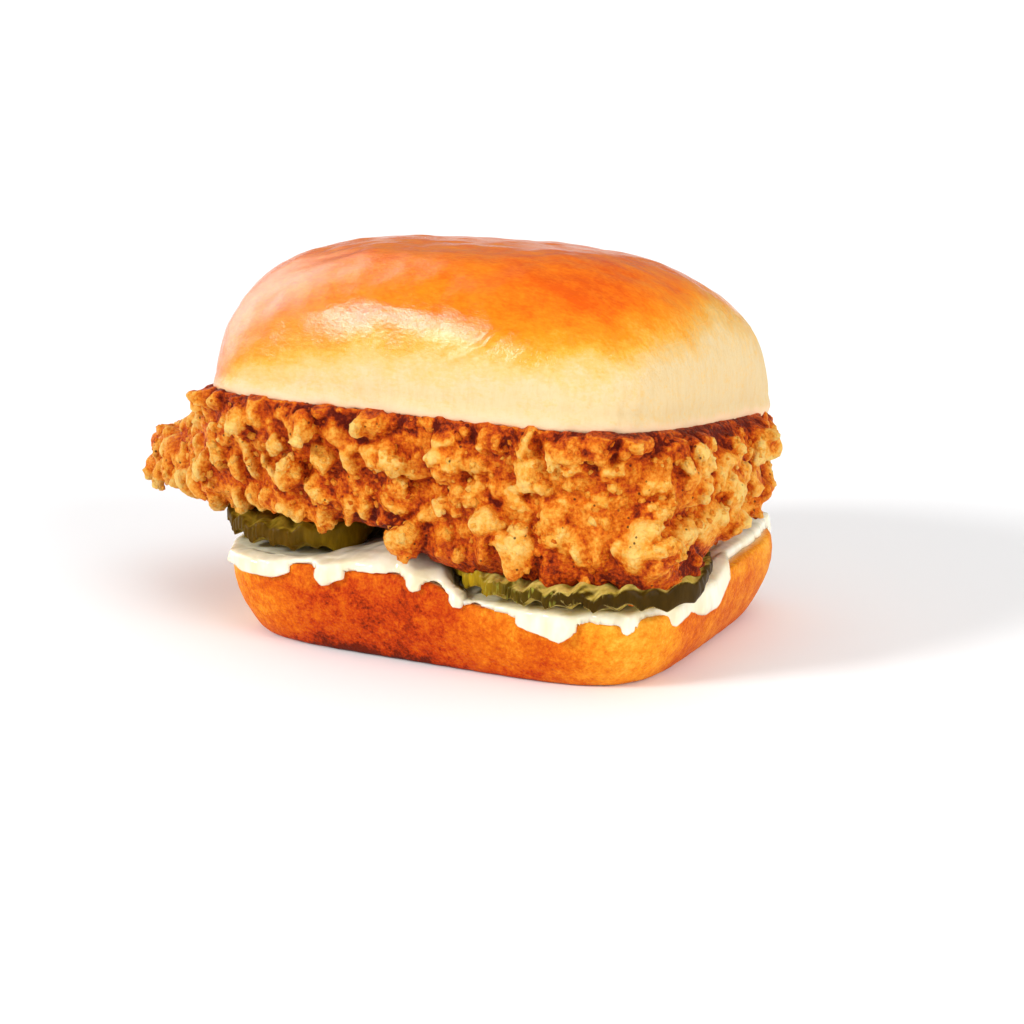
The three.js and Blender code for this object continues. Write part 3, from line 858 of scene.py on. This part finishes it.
# The crown is the top half of the bun. Its dome is brushed and baked to a glossy orange brown.
# Its sides, which touched other buns in the batch, stayed pale and tore apart in fine fibres.
crown = solid_copy("bun_crown", "crown_bread", crease_angle=50)
use_modifier(crown, "SUBSURF", levels=2, render_levels=2)
remesh(crown, CRUST_VOXEL, 3)
points, normals = read_mesh(crown)
local = in_crown(points)
HEM_SPREAD = 0.024
local[:, :2] *= (1 + HEM_SPREAD * step(local[:, 2], 2.6, 0.2))[:, None]
outline = share_out(local, CROWN_HALF_LENGTH, CROWN_HALF_WIDTH)
hem_sag = 0.8 + lumps(local, 3.0, 4.8) * 0.5
local[:, 2] -= step(local[:, 2], 2.2, 0) * step(outline, 0.88, 0.98) * hem_sag
points = local @ np.array(crown_frame)[:3, :3].T + CROWN_CENTRE
direction = around(local)
rise = local[:, 2]
outside = step(normals[:, 2], -0.8, -0.3)
BROWN_LINE = [
    (-180, -2), (-155, -5), (-142, -5), (-135, -1), (-127, 5), (-100, 9.2), (-80, 10.4),
    (-60, 11.2), (-30, 15), (0, 17), (40, 15.5), (90, 12), (140, 5), (180, -2),
]
brown_line = np.interp(direction, *zip(*BROWN_LINE))
brown_line += lumps(points, 9, 6.6) * 2.2 + lumps(points, 3.5, 2.4) * 0.9
dome_side = step(rise - brown_line, -7, 0)
DEEPEST_BROWN = (27, -18, 58)
deep = np.exp(-((points - DEEPEST_BROWN) ** 2).sum(axis=1) / 14 ** 2)
bake = step(rise - brown_line, -7, 7) * (0.80 + 0.17 * deep)
bake += lumps(points / (2.6, 1, 1), 3.2, 8.1) * 0.09 * dome_side
dome = step(rise - brown_line, -2, 3)
fibres = lumps(local * (1, 1, 0.22), 0.9, 3.3)
torn = (1 - dome) * outside
undulation = lumps(points, 12, 1.1) * 0.35 + lumps(points, 4.5, 9.3) * (0.10 + 0.10 * dome)
leather = (lumps(points / (1.8, 1, 1), 1.5, 5.2) * 0.05 + lumps(points, 2.8, 4.9) * 0.06) * dome

# Three short creases run up beside the glaze.
WRINKLES = [
    [(6.3, -32.3, 50.4), (10.0, -31.9, 52.0), (14.8, -30.1, 55.6)],
    [(17.1, -31.7, 51.4), (19.7, -30.2, 54.0)],
    [(11.6, -31.6, 53.0), (14.0, -30.6, 55.0)],
]
crease = np.zeros(len(points))
wobble = points.copy()
wobble[:, 2] += lumps(points, 2.4, 6.1) * 0.5
for line in WRINKLES:
    for start, end in zip(line, line[1:]):
        start, along = np.array(start), np.subtract(end, start)
        share = np.clip(((wobble - start) @ along) / (along @ along), 0, 1)
        away = np.linalg.norm(wobble - start - share[:, None] * along, axis=1)
        crease = np.maximum(crease, np.exp(-(away / 0.5) ** 2))
relief = undulation + torn * fibres * 0.14 + leather + crease * 0.3
points += normals * (relief * outside)[:, None]
write_points(crown, points)
paint(crown, "bake", bake)
paint(crown, "torn", torn)
paint(crown, "cut", step(normals[:, 2], -0.6, -0.9))
paint(crown, "hem", step(rise + lumps(points, 2.5, 7.1) * 0.7, 1.8, 0.2))

material, tree, shader = new_material("crown_crust")
where = place(tree)
drawn = place(tree, (1, 1, 0.3))
tone = mottled(tree, place(tree, (0.5, 1, 1)), stored(tree, "bake"), 2.4, 0.10, 0.5, 0.12)
crust = ramp(tree, tone, [
    (0.0, linear(218, 192, 142)),
    (0.2, linear(226, 182, 104)),
    (0.4, linear(236, 164, 54)),
    (0.6, linear(238, 138, 20)),
    (0.82, linear(234, 114, 6)),
    (1.0, linear(220, 86, 0)),
])
threads = grain(tree, drawn, 1.1, 5, 0.7)
thread_share = reach(tree, threads, 0.45, 0.72, 0.0, 0.4)
thread_share = maths(tree, "MULTIPLY", stored(tree, "torn"), thread_share)
crust = mix(tree, thread_share, crust, linear(214, 172, 100))
crust = mix(tree, maths(tree, "MULTIPLY", stored(tree, "hem"), 0.6), crust, linear(246, 204, 168))
crumb = ramp(tree, grain(tree, where, 1.1, 4, 0.7), [
    (0.3, linear(232, 196, 140)),
    (0.7, linear(252, 236, 200)),
])
crust = mix(tree, stored(tree, "cut"), crust, crumb)
tree.links.new(crust, shader.inputs["Base Color"])
relief = bump(tree, threads, 0.2, maths(tree, "MULTIPLY", stored(tree, "torn"), 0.9))
relief = bump(tree, grain(tree, place(tree, (0.7, 1, 1)), 0.55, 4, 0.7), 0.08, 1.0, relief)
tree.links.new(relief, shader.inputs["Normal"])
rough = reach(tree, stored(tree, "bake"), 0.08, 0.35, 0.6, 0.17)
tree.links.new(rough, shader.inputs["Roughness"])
shader.inputs["Specular IOR Level"].default_value = 0.5
finish(crown, material, "bun_crown")


# The studio: a white floor, a large soft light from the upper left, weaker ones from the right
# and from above, and white walls all round. Glossy rays see the walls dimmer, with one bright
# window in them at the left.
bpy.ops.object.select_all(action="DESELECT")
bpy.ops.mesh.primitive_plane_add(size=6, location=(0, 0, 0))
floor = bpy.context.object
floor.name = "floor"
material, tree, shader = new_material("white_floor")
shader.inputs["Base Color"].default_value = (0.93, 0.93, 0.935, 1)
shader.inputs["Roughness"].default_value = 0.8
shader.inputs["Specular IOR Level"].default_value = 0.1
floor.data.materials.append(material)


def sunlight(name, aim, power, spread_angle, glints=True):
    """A distant soft light that shines from the direction aim."""
    light = bpy.data.lights.new(name, "SUN")
    light.energy = power
    light.angle = math.radians(spread_angle)
    holder = bpy.data.objects.new(name, light)
    holder.rotation_euler = Vector(aim).to_track_quat("Z", "Y").to_euler()
    holder.visible_glossy = glints
    bpy.context.collection.objects.link(holder)


sunlight("key_light", (-0.54, -0.70, 0.50), 2.2, 16)
sunlight("side_light", (0.95, -0.30, 0.40), 1.7, 40)
sunlight("top_light", (0.1, 0.2, 1.0), 1.0, 80, False)
world = bpy.data.worlds.new("white_walls")
world.use_nodes = True
tree = world.node_tree
direction = add(tree, "TexCoord").outputs["Generated"]
upward = add(tree, "SeparateXYZ", {"Vector": direction}).outputs["Z"]
walls = reach(tree, upward, 0.12, 0.5, 0.9, 0.35)
glossy = add(tree, "LightPath").outputs["Is Glossy Ray"]
walls = maths(tree, "MULTIPLY", walls, reach(tree, glossy, 0, 1, 1.0, 0.25))
aim = {0: direction, 1: (-0.88, 0.22, 0.40)}
to_window = add(tree, "VectorMath", aim, operation="DOT_PRODUCT").outputs["Value"]
window = reach(tree, to_window, 0.78, 0.96, 0.0, 3.3)
window = maths(tree, "MULTIPLY", window, glossy)
strength = maths(tree, "ADD", walls, window)
tree.links.new(strength, tree.nodes["Background"].inputs["Strength"])
tree.nodes["Background"].inputs["Color"].default_value = (1, 1, 1, 1)
bpy.context.scene.world = world
bpy.context.scene.view_settings.view_transform = "Standard"
